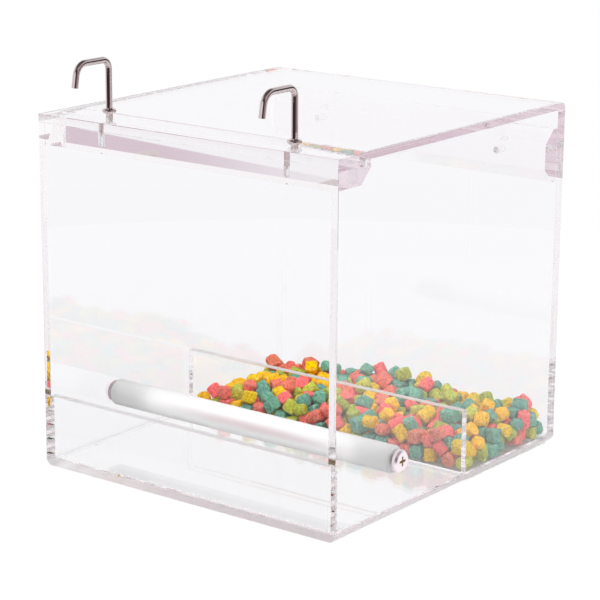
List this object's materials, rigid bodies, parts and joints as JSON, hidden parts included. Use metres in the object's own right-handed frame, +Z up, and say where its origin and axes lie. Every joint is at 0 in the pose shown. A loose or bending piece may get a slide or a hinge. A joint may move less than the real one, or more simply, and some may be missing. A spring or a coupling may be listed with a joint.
{
  "type": "cage bird feeder box",
  "caption": "Clear acrylic box feeder with an open front, a frosted perch, a feed tray behind a low divider and screw hooks on its roof that hang it on a cage.",
  "frame": {"origin": "middle of the underside of the base sheet", "axes": "+Z up, the open front towards -Y, +X to the right of someone who faces the front"},
  "size_m": [0.2058, 0.2255, 0.2311],
  "materials": {
    "clear_sheet": "polished clear acrylic sheet",
    "clear_bar": "polished clear acrylic bar",
    "plated_wire": "bright plated steel",
    "frosted_rod": "frosted acrylic",
    "plated_screw": "satin plated steel",
    "feed": "dry matte pellets in four colours"
  },
  "bodies": {
    "feeder_box": {"base_panel": "clear_sheet", "top_panel": "clear_sheet", "back_panel": "clear_sheet", "left_side_panel": "clear_sheet", "right_side_panel": "clear_sheet", "front_lip": "clear_sheet", "tray_divider": "clear_sheet", "front_hook_rail": "clear_bar", "rear_hook_rail": "clear_bar", "perch_rod": "frosted_rod", "perch_screw_left": "plated_screw", "perch_screw_right": "plated_screw", "feed_heap": "feed"},
    "left_hook": {"hook_left": "plated_wire"},
    "right_hook": {"hook_right": "plated_wire"}
  },
  "joints": [
    {"name": "left_hook_turn", "type": "hinge", "parent": "feeder_box", "child": "left_hook", "pos_m": [-0.062, -0.0915, 0.2006], "axis": [0, 0, 1], "range_deg": [-180, 180]},
    {"name": "right_hook_turn", "type": "hinge", "parent": "feeder_box", "child": "right_hook", "pos_m": [0.062, -0.0915, 0.1989], "axis": [0, 0, 1], "range_deg": [-180, 180]}
  ]
}
